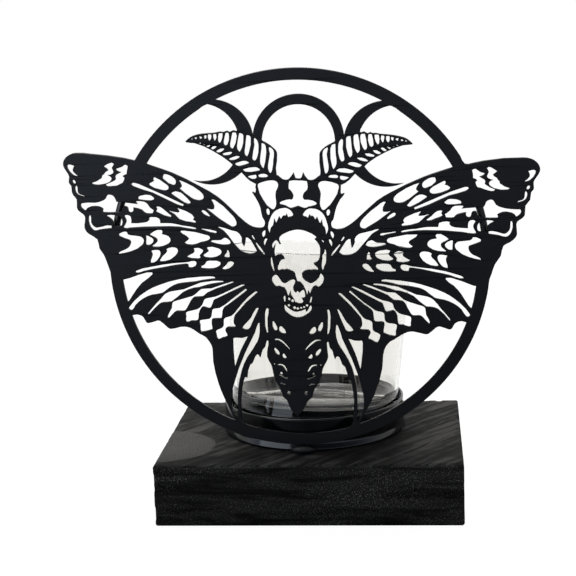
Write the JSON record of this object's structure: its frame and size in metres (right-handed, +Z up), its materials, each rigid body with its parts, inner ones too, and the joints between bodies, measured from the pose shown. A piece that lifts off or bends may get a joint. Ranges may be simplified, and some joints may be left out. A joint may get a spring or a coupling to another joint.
{
  "type": "skull moth candle holder",
  "caption": "Tabletop candle holder: a black steel ring with a pierced moth and skull stands before a clear glass cup in a round tray, all fixed on a dark wooden block.",
  "frame": {"origin": "middle of the wooden block's flat underside", "axes": "+Z up, the moth panel faces -Y, +X to the right seen from the front"},
  "size_m": [0.1967, 0.1093, 0.1893],
  "materials": {
    "stained_wood": "rough sawn pine with a thin black stain",
    "black_steel": "satin black powder coat",
    "screw_steel": "dark plated",
    "clear_glass": "clear and polished"
  },
  "bodies": {
    "root": {"base_block": "stained_wood", "holder_tray": "black_steel", "tray_screw": "screw_steel", "weld_bead": "black_steel", "moth_panel": "black_steel", "wing_brace_left": "black_steel", "wing_brace_right": "black_steel", "glass_cup": "clear_glass"}
  },
  "joints": []
}
